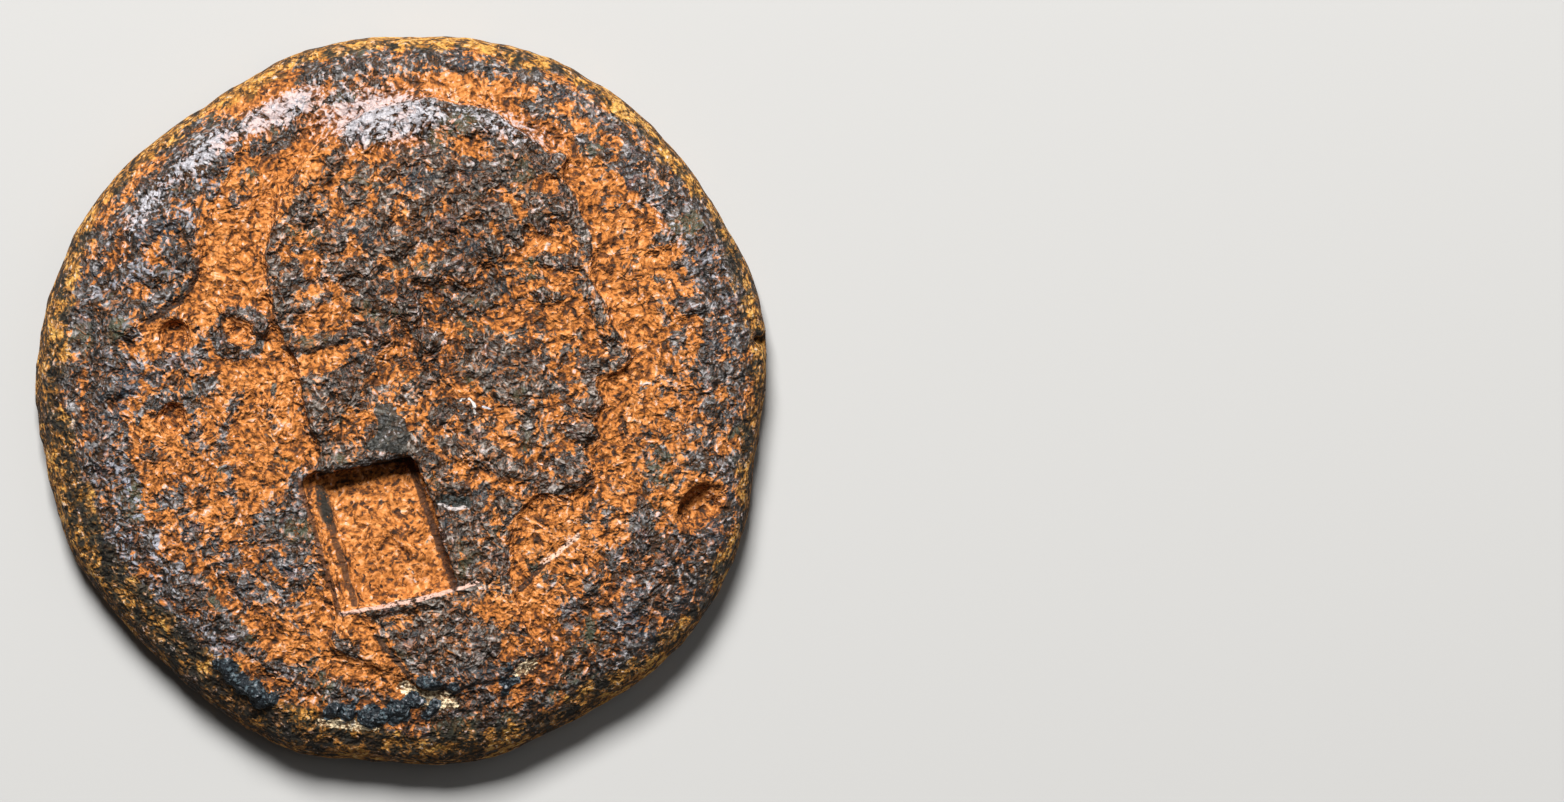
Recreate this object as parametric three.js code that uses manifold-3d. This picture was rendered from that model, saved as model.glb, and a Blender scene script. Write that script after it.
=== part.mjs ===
// A struck bronze coin of thick, hand-cut make, lying on its wreath side, head side up.
// Millimetres and degrees, +Z up.
// Top face: a worn laureate head facing right, with a rectangular countermark punched into its neck.
// Under face: a laurel wreath of two branches round rows of short strokes.
// The origin is the middle of the bounding box, at its bottom. +Y points to the top of both designs.
import * as THREE from "three";
import { mergeVertices } from "three/addons/utils/BufferGeometryUtils.js";
import Module from "manifold-3d";

const wasm = await Module();
wasm.setup();

// The blank. Its widest line lies low, and it narrows upwards into a broad round shoulder.
const FLAN = {
  radius: 13.78,
  widestAt: 1.0, // height of the widest line
  field: 3.6, // height of the top face's field at its middle
  shoulder: { power: 6, fullness: 0.45 },
  footRound: 0.6, // how far the under face's edge is drawn in
  lean: { x: 0.3, y: 0.2 }, // how far the top face sits off the foot's middle
  segments: 68,
  rings: 8,
};

// Where the hammer flattened the blank's edge: middle and half width in degrees, depth in millimetres.
const EDGE_FLATS = [
  { at: 352, half: 26, depth: 0.54 },
  { at: 32, half: 24, depth: 0.2 },
  { at: 90, half: 22, depth: 0.28 },
  { at: 123, half: 32, depth: 0.54 },
  { at: 192, half: 15, depth: 0.2 },
  { at: 226, half: 30, depth: 0.42 },
  { at: 265, half: 15, depth: 0.2 },
  { at: 298, half: 18, depth: 0.24 },
];

// Heights over the top face's field: the head, and the hair that lies on it.
const LIFT = { head: 0.17, hair: 0.28 };

// The head, by the canon: three equal parts from hairline to brow, nose base and chin, and half a
// part of crown.
const HEAD = { third: 4.26, chinY: -3.6, skull: { x: 0.95, y: 4.85, halfLength: 6.1, halfHeight: 6.4 } };
HEAD.noseY = HEAD.chinY + HEAD.third;
HEAD.browY = HEAD.noseY + HEAD.third;
HEAD.eyeY = HEAD.browY - HEAD.third / 4;
HEAD.mouthY = HEAD.chinY + (HEAD.third * 2) / 3;

// The countermark's punch: a slanted rectangle, driven in deeper at the top, with a ledge at its left.
const PUNCH = {
  x: -0.83,
  y: -4.98,
  width: 4.2,
  height: 5.1,
  turn: 11.5,
  slant: 6.5, // how much more its sides lean
  floor: 3.2,
  tip: 4,
  ledge: 0.65,
};

// The under face: a shallow dish inside the rim, its relief worn flush with the rim.
const DISH = { depth: 0.34, radius: 12.5, x: 0.42, y: -0.32, wall: 0.8, segments: 48 };

// Leaf clusters of the wreath, seen from the wreath's own side. Each is rooted at an angle and a radius,
// and its leaves fan out over the span, along the branch. Wear takes length and width.
const WREATH = { fan: [-2.1, -0.15, 1.75], leafWidth: 1.35, bow: 0.55, points: 6 };
const CLUSTERS = [
  { root: 45, radius: 9.5, span: 40, wear: 0 },
  { root: 7, radius: 10.2, span: 36, wear: 0.08 },
  { root: -31, radius: 10.8, span: 33, wear: 0.2 },
  { root: -68, radius: 10.4, span: 31, wear: 0.4 },
  { root: 117, radius: 9.6, span: -12, wear: 0.3 },
  { root: 158, radius: 9.6, span: -38, wear: 0 },
  { root: 195, radius: 9.7, span: -33, wear: 0.15 },
  { root: 231, radius: 10.0, span: -30, wear: 0.45 },
  { root: 258, radius: 10.2, span: -23, wear: 0.35 },
];

// Rows of strokes in the wreath's middle, each stroke from one end to the other.
const STROKE_ROWS = [
  { y: 2.1, width: 1.6, sag: 0.3, ends: [[-5.2, -0.4], [1.7, 6.7]] },
  { y: -0.2, width: 1.4, sag: -0.25, ends: [[-5.4, -2.5], [-1.5, 2.1], [3.5, 7.3]] },
  { y: -2.5, width: 1.55, sag: 0.3, ends: [[-4.9, -0.6], [1.0, 6.9]] },
  { y: -4.8, width: 1.3, sag: -0.25, ends: [[-5.6, -2.0], [-0.9, 3.4]] },
  { y: -7.0, width: 1.5, sag: 0.25, ends: [[-1.9, 3.1]] },
];

const rad = THREE.MathUtils.degToRad;
const { lerp } = THREE.MathUtils;

// A closed geometry as a solid, and a solid as a geometry.
function solid(geometry) {
  geometry.deleteAttribute("normal");
  geometry.deleteAttribute("uv");
  const merged = mergeVertices(geometry, 1e-4);
  return new wasm.Manifold(
    new wasm.Mesh({
      numProp: 3,
      vertProperties: new Float32Array(merged.attributes.position.array),
      triVerts: new Uint32Array(merged.index.array),
    }),
  );
}

function geometryOf(manifold) {
  const { vertProperties, triVerts } = manifold.getMesh();
  const geometry = new THREE.BufferGeometry();
  geometry.setAttribute("position", new THREE.BufferAttribute(vertProperties, 3));
  geometry.setIndex(new THREE.BufferAttribute(triVerts, 1));
  geometry.computeVertexNormals();
  return geometry;
}

const joined = (solids) => wasm.Manifold.union(solids);
const points = (list) => list.map(([x, y]) => new THREE.Vector2(x, y));
const polar = (degrees, radius) =>
  new THREE.Vector2(radius * Math.cos(rad(degrees)), radius * Math.sin(rad(degrees)));

// A count of values spread evenly from one end to the other.
const spread = (count, make) => Array.from({ length: count }, (_, i) => make(i / (count - 1), i));

// The blank's radius towards an angle in radians.
function edgeRadius(angle) {
  const degrees = THREE.MathUtils.radToDeg(angle);
  let radius = FLAN.radius;
  for (const flat of EDGE_FLATS) {
    const off = Math.abs(THREE.MathUtils.euclideanModulo(degrees - flat.at + 180, 360) - 180);
    if (off < flat.half) radius -= (flat.depth * (1 + Math.cos((Math.PI * off) / flat.half))) / 2;
  }
  return radius;
}

// Height of the top face at a share of the way from its middle to the edge.
function crest(share) {
  const { power, fullness } = FLAN.shoulder;
  return FLAN.widestAt + (FLAN.field - FLAN.widestAt) * Math.max(0, 1 - share ** power) ** fullness;
}

function fieldAt(x, y) {
  const [dx, dy] = [x - FLAN.lean.x, y - FLAN.lean.y];
  return crest(Math.hypot(dx, dy) / edgeRadius(Math.atan2(dy, dx)));
}

// Sets a geometry, made round the origin, on the top face at a point, square to the face and lifted over it.
function onField(geometry, x, y, lift) {
  const reach = 0.3;
  const slopeX = (fieldAt(x + reach, y) - fieldAt(x - reach, y)) / (2 * reach);
  const slopeY = (fieldAt(x, y + reach) - fieldAt(x, y - reach)) / (2 * reach);
  const normal = new THREE.Vector3(-slopeX, -slopeY, 1).normalize();
  const turn = new THREE.Quaternion().setFromUnitVectors(new THREE.Vector3(0, 0, 1), normal);
  return geometry.applyQuaternion(turn).translate(x, y, fieldAt(x, y) + lift);
}

// The blank, turned, then drawn to its hand-cut outline. Raise lifts its top face only.
function blank(raise = 0) {
  const footSteps = 4;
  const foot = spread(footSteps + 1, (share) => {
    const turn = rad(90 * (1 - share));
    const inset = (FLAN.footRound / FLAN.radius) * (1 - Math.cos(turn));
    return new THREE.Vector2(1 - inset, FLAN.widestAt * (1 - Math.sin(turn)));
  });
  const top = spread(FLAN.rings, (share) => {
    const out = share < 1 ? Math.cos(rad(90 * (share + (1 - share) / FLAN.rings))) : 0;
    return new THREE.Vector2(out, crest(out) + raise);
  });
  const profile = [new THREE.Vector2(0, 0), ...foot, ...top];
  const lathe = new THREE.LatheGeometry(profile, FLAN.segments).rotateX(Math.PI / 2);
  const place = lathe.attributes.position;
  for (let i = 0; i < place.count; i++) {
    const [x, y, z] = [place.getX(i), place.getY(i), place.getZ(i)];
    const radius = edgeRadius(Math.atan2(y, x));
    const lean = THREE.MathUtils.smoothstep(z, FLAN.widestAt, FLAN.field);
    place.setXY(i, x * radius + FLAN.lean.x * lean, y * radius + FLAN.lean.y * lean);
  }
  return solid(lathe);
}

// An upright prism of an outline, between two heights.
function prism(shape, low, high, curveSegments = 5) {
  const extrude = new THREE.ExtrudeGeometry(shape, { depth: high - low, bevelEnabled: false, curveSegments });
  return solid(extrude.translate(0, 0, low));
}

// A low round swelling on the top face: its middle, length, width, rise over a layer, that layer's lift,
// and turn. It is a dome whose foot goes straight down into the blank.
function swelling(x, y, length, width, rise, lift, turn = 0) {
  const sink = 0.08;
  const root = 0.6;
  const full = rise + sink;
  const dome = [[0, -root], [1, -root], [1, 0], [Math.SQRT1_2, Math.SQRT1_2 * full], [0, full]];
  const bump = new THREE.LatheGeometry(points(dome), Math.round(6 + length)).rotateX(Math.PI / 2);
  return solid(onField(bump.scale(length / 2, width / 2, 1).rotateZ(rad(turn)), x, y, lift - sink));
}

// The side view of head and neck. Only the face, the neck and its cut-off need points; the skull is an
// ellipse.
function headOutline() {
  const { skull, browY, noseY, mouthY, chinY } = HEAD;
  const shape = new THREE.Shape();
  shape.absellipse(skull.x, skull.y, skull.halfLength, skull.halfHeight, rad(217), rad(5), true);
  shape.splineThru(
    points([
      [6.95, browY - 0.35],
      [7.7, (browY + noseY) / 2 + 0.2],
      [8.4, noseY + 0.95],
      [8.0, noseY + 0.25],
      [7.15, noseY + 0.05],
      [7.5, mouthY + 0.6],
      [7.12, mouthY],
      [7.35, mouthY - 0.55],
      [6.85, mouthY - 1.15],
      [7.05, chinY + 0.9],
      [6.3, chinY + 0.05],
      [5.0, chinY - 0.05],
      [4.1, chinY - 0.9],
    ]),
  );
  shape.splineThru(points([[3.95, -6.5], [4.5, -8.2], [5.4, -9.4]]));
  shape.splineThru(points([[3.2, -10.5], [0.4, -10.6], [-2.7, -9.2]]));
  shape.splineThru(points([[-2.5, -6.6], [-3.0, -2.6]]));
  shape.closePath();
  return shape;
}

// The hair, from the forehead's fringe over the temple and behind the ear to the nape.
function hairOutline() {
  const { skull } = HEAD;
  const shape = new THREE.Shape();
  shape.absellipse(skull.x, skull.y, skull.halfLength - 0.1, skull.halfHeight - 0.1, rad(215), rad(29), true);
  shape.splineThru(points([[5.3, 6.7], [3.9, 6.2], [2.9, 5.3], [2.3, 4.2], [1.6, 4.8]]));
  shape.splineThru(points([[0.1, 4.3], [-0.6, 2.2], [-2.0, -0.2], [-3.4, -1.5]]));
  shape.closePath();
  return shape;
}

// Brow, eye and lids, nose and its wing, cheek, lips, chin, jaw, and the neck's muscle.
function features() {
  const { browY, eyeY, noseY, mouthY, chinY } = HEAD;
  const at = LIFT.head;
  return [
    swelling(5.6, browY + 0.15, 2.9, 0.8, 0.12, at, -6),
    swelling(5.4, eyeY, 1.8, 0.9, 0.09, at, -4),
    swelling(5.3, eyeY + 0.5, 2.3, 0.45, 0.1, at, -14),
    swelling(5.2, eyeY - 0.5, 1.9, 0.4, 0.07, at, 8),
    swelling(7.35, (browY + noseY) / 2 + 0.1, 0.8, 3.4, 0.11, at, 19),
    swelling(7.0, noseY + 0.65, 1.5, 1.0, 0.1, at, 10),
    swelling(3.7, noseY + 0.6, 4.8, 3.4, 0.11, at, -30),
    swelling(6.75, mouthY + 0.42, 1.4, 0.5, 0.09, at, -12),
    swelling(6.65, mouthY - 0.42, 1.2, 0.55, 0.09, at, 8),
    swelling(6.1, chinY + 0.95, 1.9, 1.5, 0.12, at),
    swelling(3.3, chinY + 1.35, 5.4, 1.3, 0.1, at, -20),
  ];
}

// The ear: the back and the top of its rim, and the lobe.
function ear() {
  const at = LIFT.hair;
  return [
    swelling(0.2, 3.4, 2.6, 0.95, 0.14, at, 102),
    swelling(0.95, 4.55, 1.6, 0.8, 0.13, at, 12),
    swelling(0.95, 1.95, 1.2, 1.0, 0.15, at, 60),
  ];
}

// The laurel worn over the hair: pairs of leaves along an arc from nape to forehead.
function headLaurel() {
  const line = new THREE.QuadraticBezierCurve(...points([[-4.5, 3.2], [-0.4, 7.6], [5.9, 7.9]]));
  const pairs = 6;
  const apart = 0.5;
  return spread(pairs, (_, i) => {
    const at = line.getPoint((i + 0.5) / pairs);
    const run = line.getTangent((i + 0.5) / pairs);
    const turn = THREE.MathUtils.radToDeg(Math.atan2(run.y, run.x));
    return [-1, 1].map((side) => {
      const [x, y] = [at.x - apart * side * run.y, at.y + apart * side * run.x];
      return swelling(x, y, 2.9, 1.25, 0.11, LIFT.hair, turn + 22 * side);
    });
  }).flat();
}

// Hair locks: two rows combed round the crown, a fringe of short ones, and a row down to the nape.
function locks() {
  const { skull } = HEAD;
  const combed = (count, size, from, to) =>
    spread(count, (share) => {
      const turn = rad(lerp(from, to, share));
      const [reachX, reachY] = [skull.halfLength * size, skull.halfHeight * size];
      const along = THREE.MathUtils.radToDeg(Math.atan2(reachY * Math.cos(turn), -reachX * Math.sin(turn)));
      return swelling(
        skull.x + reachX * Math.cos(turn),
        skull.y + reachY * Math.sin(turn),
        2.6,
        1.0,
        0.08,
        LIFT.hair,
        along + 16,
      );
    });
  const short = (count, from, to, turn) =>
    spread(count, (share) =>
      swelling(lerp(from[0], to[0], share), lerp(from[1], to[1], share), 1.7, 0.85, 0.08, LIFT.hair, turn),
    );
  return [
    ...combed(6, 0.84, 50, 155),
    ...combed(3, 0.62, 75, 135),
    ...short(4, [5.9, 7.1], [3.2, 5.7], -60),
    ...short(4, [-0.9, 2.4], [-3.0, -0.5], -42),
  ];
}

// The laurel's tie: a knot with a bow's two loops, and two ribbon ends down the nape.
function ties() {
  return [
    swelling(-5.3, 2.7, 1.0, 1.0, 0.2, 0),
    swelling(-6.3, 3.2, 1.8, 0.75, 0.16, 0, 152),
    swelling(-6.3, 1.9, 1.7, 0.65, 0.14, 0, 28),
    swelling(-4.9, -0.6, 0.55, 5.4, 0.12, 0, 3),
    swelling(-6.3, -0.3, 0.5, 3.9, 0.1, 0, -22),
  ];
}

// What wear left of the border's strokes, on both sides of the head.
function borderTraces() {
  const arc = (count, from, to, radius) =>
    spread(count, (share, i) => {
      const at = lerp(from, to, share);
      const { x, y } = polar(at, radius);
      return swelling(x, y, 1.7, 0.8, 0.1, 0, at + (i % 2 ? 14 : -10));
    });
  return [...arc(4, 142, 178, 10.5), ...arc(2, 18, 32, 11.2)];
}

// The countermark: a slanted punch, its floor sinking towards the top, with a ledge at its left and a
// faint sprig.
function countermark() {
  const { width, height, ledge } = PUNCH;
  const tall = 3;
  const slanted = new THREE.Matrix4().makeShear(0, 0, -Math.tan(rad(PUNCH.slant)), 0, 0, 0);
  const place = (geometry) =>
    solid(
      geometry
        .applyMatrix4(slanted)
        .rotateX(rad(-PUNCH.tip))
        .rotateZ(rad(PUNCH.turn))
        .translate(PUNCH.x, PUNCH.y, PUNCH.floor),
    );
  const box = (w, x, low) => place(new THREE.BoxGeometry(w, height, tall).translate(x, 0, low + tall / 2));
  const sprig = [
    { x: 0.3, y: 0, length: 4.4, turn: 128 },
    { x: -0.3, y: -0.15, length: 1.7, turn: 78 },
    { x: 0.9, y: -0.1, length: 1.7, turn: 172 },
    { x: 0.8, y: -1.3, length: 1.4, turn: 78 },
  ];
  const raised = sprig.map(({ x, y, length, turn }) => {
    const stem = new THREE.SphereGeometry(1, 8, 6).scale(length / 2, 0.22, 0.1);
    return place(stem.rotateZ(rad(turn)).translate(x, y, 0));
  });
  return joined([box(width - ledge, ledge / 2, 0), box(width, 0, 0.2)]).subtract(joined(raised));
}

// The metal that the punch pushed up along its foot and its right side.
function punchLips() {
  const middle = new THREE.Vector2(PUNCH.x, PUNCH.y);
  const beside = (x, y) => new THREE.Vector2(x, y).add(middle).rotateAround(middle, rad(PUNCH.turn));
  const shift = (PUNCH.height / 2) * Math.tan(rad(PUNCH.slant));
  const foot = beside(shift, -PUNCH.height / 2 - 0.15);
  const right = beside(PUNCH.width / 2 + 0.15, 0);
  return [
    swelling(foot.x, foot.y, PUNCH.width + 0.6, 0.7, 0.09, LIFT.head, PUNCH.turn),
    swelling(right.x, right.y, 0.6, PUNCH.height, 0.07, LIFT.head, PUNCH.turn + PUNCH.slant),
  ];
}

// Casting pits, as balls of missing metal, and the split at the edge.
function pits() {
  const pit = (x, y, radius, depth) => {
    const ball = new THREE.SphereGeometry(1, 10, 6).scale(radius, radius, depth);
    return solid(onField(ball, x, y, 0));
  };
  const split = new THREE.BoxGeometry(1.3, 0.32, 3).rotateZ(rad(-12)).translate(13.5, 2.1, 2.6);
  const small = [pit(-8.5, 2.3, 0.55, 0.25), pit(-8.6, -0.75, 0.55, 0.25)];
  return joined([pit(11.25, -4.15, 1.0, 0.55), ...small, solid(split)]);
}

// The head side's relief: the head and hair follow the blank's own dome.
function headSide() {
  const tall = [FLAN.widestAt, FLAN.field + 1];
  const head = prism(headOutline(), ...tall).intersect(blank(LIFT.head));
  const hair = prism(hairOutline(), ...tall).intersect(blank(LIFT.hair));
  return joined([
    head,
    hair,
    ...features(),
    ...ear(),
    ...headLaurel(),
    ...locks(),
    ...ties(),
    ...borderTraces(),
    ...punchLips(),
  ]);
}

// A leaf's outline, narrow at its root, widest two thirds along, blunt at its tip, and bowed to one side.
function leafShape(root, tip, width, bow) {
  const along = new THREE.Vector2().subVectors(tip, root);
  const across = new THREE.Vector2(-along.y, along.x).normalize();
  const edge = (sign, share) => {
    const half = (width / 2) * Math.sin(Math.PI * share ** 1.7) ** 0.8;
    const off = sign * half + bow * Math.sin(Math.PI * share);
    return root.clone().addScaledVector(along, share).addScaledVector(across, off);
  };
  const out = spread(WREATH.points, (share) => edge(1, share));
  const back = spread(WREATH.points, (share) => edge(-1, 1 - share));
  return new THREE.Shape([...out, ...back.slice(1, -1)]);
}

// Solids of the under face are made facing up, with the coin's lowest plane at 0, and turned over at the
// end.
const standing = (shape) => prism(shape, -DISH.depth - 0.4, 0);

function wreath() {
  return CLUSTERS.flatMap(({ root, radius, span, wear }) =>
    WREATH.fan.map((off) => {
      const from = polar(root, radius + off * 0.3);
      const to = polar(root + span * (1 - wear * 0.4), radius - 0.6 + off);
      const width = WREATH.leafWidth * (1 - wear * 0.55);
      return standing(leafShape(from, to, width, -Math.sign(span) * WREATH.bow));
    }),
  );
}

// A stroke with round ends and a waved middle.
function strokeShape(from, to, y, width, sag) {
  const edge = (sign, share) => {
    const place = (1 - Math.cos(Math.PI * share)) / 2;
    const half = (width / 2) * Math.sin(Math.PI * share) ** 0.8;
    return new THREE.Vector2(lerp(from, to, place), y + sag * Math.sin(2 * Math.PI * place) + sign * half);
  };
  const steps = 7;
  const below = spread(steps, (share) => edge(-1, share));
  const above = spread(steps, (share) => edge(1, 1 - share));
  return new THREE.Shape([...below, ...above.slice(1, -1)]);
}

function strokes() {
  return STROKE_ROWS.flatMap(({ y, width, sag, ends }) =>
    ends.map(([from, to]) => standing(strokeShape(from, to, y, width, sag))),
  );
}

// Pellets between the clusters, and the worn knot that ties the branches at the bottom.
function pellets() {
  const spots = [
    { at: 96, radius: 10.2, long: 1.1, wide: 0.9, turn: 10 },
    { at: 51, radius: 7.6, long: 0.8, wide: 0.6, turn: 70 },
    { at: 155, radius: 7.5, long: 0.7, wide: 0.6, turn: 20 },
    { at: 8, radius: 8.6, long: 0.8, wide: 0.6, turn: 80 },
    { at: 212, radius: 7.6, long: 1.2, wide: 0.8, turn: 130 },
    { at: 268, radius: 10.0, long: 2.6, wide: 1.5, turn: 170 },
    { at: 281, radius: 9.7, long: 1.7, wide: 1.2, turn: 35 },
  ];
  return spots.map(({ at, radius, long, wide, turn }) => {
    const middle = polar(at, radius);
    const shape = new THREE.Shape();
    shape.absellipse(middle.x, middle.y, long / 2, wide / 2, 0, 2 * Math.PI, false, rad(turn));
    return standing(shape);
  });
}

// The dish that the under face's field lies in, with a sloping wall.
function dish() {
  const { depth, radius, wall } = DISH;
  const profile = points([[0, -depth], [radius - wall, -depth], [radius, 0], [radius, 1], [0, 1]]);
  const lathe = new THREE.LatheGeometry(profile, DISH.segments).rotateX(Math.PI / 2);
  const place = lathe.attributes.position;
  for (let i = 0; i < place.count; i++) {
    const [x, y] = [place.getX(i), place.getY(i)];
    const draw = edgeRadius(Math.PI - Math.atan2(y, x)) / FLAN.radius;
    place.setXY(i, x * draw + DISH.x, y * draw + DISH.y);
  }
  return solid(lathe);
}

const turnedOver = (made) => made.rotate([0, 180, 0]);

const underRelief = turnedOver(joined([...wreath(), ...strokes(), ...pellets()]));
const body = blank()
  .subtract(turnedOver(dish()))
  .add(underRelief.intersect(blank()))
  .add(headSide())
  .subtract(countermark())
  .subtract(pits());

const bronze = new THREE.MeshStandardMaterial({ color: 0x6b4a30, roughness: 0.6, metalness: 0.5 });
const coin = new THREE.Mesh(geometryOf(body), bronze);
coin.name = "coin";

// The frame's origin is the middle of the bounding box, at its bottom.
coin.geometry.computeBoundingBox();
const middle = coin.geometry.boundingBox.getCenter(new THREE.Vector3());
coin.position.set(-middle.x, -middle.y, -coin.geometry.boundingBox.min.z);

const group = new THREE.Group();
group.add(coin);

export default group;
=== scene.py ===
import math

import bpy
import numpy as np
from mathutils import Matrix, Vector


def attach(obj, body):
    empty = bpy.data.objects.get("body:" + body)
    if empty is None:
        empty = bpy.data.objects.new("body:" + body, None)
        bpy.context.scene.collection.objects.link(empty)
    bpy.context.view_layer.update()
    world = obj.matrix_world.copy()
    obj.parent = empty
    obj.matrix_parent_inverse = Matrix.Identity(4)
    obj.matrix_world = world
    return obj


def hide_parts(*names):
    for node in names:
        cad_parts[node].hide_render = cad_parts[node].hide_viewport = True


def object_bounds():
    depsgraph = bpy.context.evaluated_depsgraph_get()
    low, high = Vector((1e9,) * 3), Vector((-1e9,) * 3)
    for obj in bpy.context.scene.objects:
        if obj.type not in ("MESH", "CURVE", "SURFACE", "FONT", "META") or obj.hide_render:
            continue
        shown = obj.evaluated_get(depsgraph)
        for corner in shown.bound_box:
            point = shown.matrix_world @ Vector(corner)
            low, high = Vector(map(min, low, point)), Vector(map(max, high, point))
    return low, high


# A worn bronze coin, lying wreath side down. The struck form comes from the frame, and this script rubs it
# down, roughens it and gives it its patina, earth and crust. Lengths in the dictionaries are millimetres,
# unless a name ends in Metres, and x and y are as seen from the side that is worked on.

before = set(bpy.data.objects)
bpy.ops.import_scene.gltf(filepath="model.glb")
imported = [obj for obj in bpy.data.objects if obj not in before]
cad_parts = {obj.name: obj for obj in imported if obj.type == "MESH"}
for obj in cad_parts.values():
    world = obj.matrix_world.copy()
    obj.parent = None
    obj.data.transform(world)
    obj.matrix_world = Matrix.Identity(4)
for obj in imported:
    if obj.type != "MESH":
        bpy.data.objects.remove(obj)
cadLow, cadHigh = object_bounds()
milli = 0.001
boxLow, boxHigh = np.array(cadLow) / milli, np.array(cadHigh) / milli
print("frame loaded, coin", [round(v, 2) for v in boxHigh - boxLow], "mm")


# even noise between about -1 and 1, the same for the same seed; size is the width of one bump
def noiseAt(points, size, seed):
    place = points / size + np.array([seed * 7.31, seed * 3.17, seed * 5.53])
    cell = np.floor(place).astype(np.int64)
    part = place - cell
    fade = part * part * part * (part * (part * 6 - 15) + 10)
    total = np.zeros(len(points))
    for corner in range(8):
        step = np.array([corner & 1, corner >> 1 & 1, corner >> 2 & 1])
        key = (cell + step) @ np.array([73856093, 19349663, 83492791]) + seed * 2654435761
        weight = np.prod(np.where(step == 1, fade, 1 - fade), axis=1)
        slope = np.zeros(len(points))
        for axis in range(3):
            mixed = (key + axis * 374761393) & 0xFFFFFFFF
            mixed = ((mixed ^ (mixed >> 13)) * 1274126177) & 0xFFFFFFFF
            mixed = ((mixed ^ (mixed >> 16)) * 2246822519) & 0xFFFFFFFF
            gradient = (mixed ^ (mixed >> 15)) / 2147483648.0 - 1
            slope += gradient * (part[:, axis] - step[axis])
        total += weight * slope
    return total * 1.3


def smoothStep(value, low, high):
    t = np.clip((value - low) / (high - low), 0, 1)
    return t * t * (3 - 2 * t)


# distance from each flat point to a line of points, above 0 on the line's left and below 0 on its right
def distanceToLine(flat, line):
    nearest = np.full(len(flat), 1e9)
    side = np.ones(len(flat))
    for start, end in zip(line[:-1], line[1:]):
        start, run = np.array(start, float), np.array(end, float) - np.array(start, float)
        off = flat - start
        along = np.clip(off @ run / (run @ run), 0, 1)
        distance = np.linalg.norm(off - along[:, None] * run, axis=1)
        closer = distance < nearest
        side = np.where(closer, np.sign(run[0] * off[:, 1] - run[1] * off[:, 0]), side)
        nearest = np.minimum(nearest, distance)
    return nearest * side


# how far inside a turned ellipse each flat point is: 1 at its middle, 0 on its edge, below 0 outside
def insideOval(flat, at, size, turn):
    c, s = math.cos(math.radians(turn)), math.sin(math.radians(turn))
    off = flat - np.array(at)
    across = (off[:, 0] * c + off[:, 1] * s) / size[0]
    down = (off[:, 1] * c - off[:, 0] * s) / size[1]
    return 1 - np.hypot(across, down)


# 1 in the middle of a place, fading between two depths inside its ellipse
def onPlace(flat, place, low, high):
    return smoothStep(insideOval(flat, place["at"], place["size"], place["turn"]), low, high)


# 1 on a line of points, falling to 0 between two distances from it
def onLine(flat, line, near, far):
    return 1 - smoothStep(abs(distanceToLine(flat, line)), near, far)


# several sizes of noise laid over each other, each with its own height
def layeredNoise(points, layers, seed):
    total = np.zeros(len(points))
    for number, (size, height) in enumerate(layers):
        total += height * noiseAt(points, size, seed + number)
    return total


strikeForm = {
    "voxel": 0.137,  # the finest form the mesh holds
    "rubbing": 4,  # passes of wear over every edge
    "rubbingShare": 0.5,
    "carving": 1.7,  # how much is added to the head side's own carving, as a multiple of it
    "carvingLimit": 0.13,  # deeper carving than this isn't deepened more
    "sink": 0.16,  # how far the head side is lowered, to leave its carving room
    "softTop": 0.14,  # heights this near the top are pressed together
    "levelPasses": 60,  # what is levelled to find the carving, and the hollows that hold earth
    "hollowPasses": 50,
    "levelShare": 0.6,
}
cheek = {"at": (3.7, 1.2), "size": (3.4, 3.4), "turn": 0, "rubbing": 16}  # rubbed down further

# the blank under the relief, as the frame has it
blankForm = {
    "widestAt": 1.0,
    "field": 3.6,
    "power": 6,  # the shoulder's curve
    "fullness": 0.45,
    "dishFloor": 0.34,
}


def remeshed(source, voxel):
    mesh = source.data.copy()
    mesh.transform(Matrix.Scale(1 / milli, 4))
    rough = bpy.data.objects.new("rough_strike", mesh)
    bpy.context.collection.objects.link(rough)
    fine = rough.modifiers.new("fine", "REMESH")
    fine.mode = "VOXEL"
    fine.voxel_size = voxel
    made = bpy.data.meshes.new_from_object(rough.evaluated_get(bpy.context.evaluated_depsgraph_get()))
    bpy.data.objects.remove(rough)
    return made


def meshPoints(mesh):
    points = np.zeros(len(mesh.vertices) * 3)
    mesh.vertices.foreach_get("co", points)
    return points.reshape(-1, 3)


def meshNormals(mesh):
    normals = np.zeros(len(mesh.vertices) * 3, np.float32)
    mesh.vertices.foreach_get("normal", normals)
    return normals.reshape(-1, 3).astype(float)


# moves each value towards its neighbours' mean
def relaxed(values, edges, passes, share):
    flatValues = values.reshape(len(values), -1).copy()
    neighbours = np.bincount(edges.ravel(), minlength=len(values))
    for _ in range(passes):
        for axis in range(flatValues.shape[1]):
            column = flatValues[:, axis]
            total = np.bincount(edges[:, 0], column[edges[:, 1]], len(values))
            total += np.bincount(edges[:, 1], column[edges[:, 0]], len(values))
            flatValues[:, axis] = column + share * (total / neighbours - column)
    return flatValues.reshape(values.shape)


coinMesh = remeshed(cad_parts["coin"], strikeForm["voxel"])
edges = np.zeros(len(coinMesh.edges) * 2, np.int32)
coinMesh.edges.foreach_get("vertices", edges)
edges = edges.reshape(-1, 2)
points = relaxed(meshPoints(coinMesh), edges, strikeForm["rubbing"], strikeForm["rubbingShare"])
softest = relaxed(points, edges, cheek["rubbing"], strikeForm["rubbingShare"])
onCheek = onPlace(points[:, :2], cheek, 0, 0.3) * (points[:, 2] > blankForm["widestAt"])
points += (softest - points) * onCheek[:, None]
print("strike remeshed,", len(points), "points,", len(coinMesh.polygons), "faces")

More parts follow.
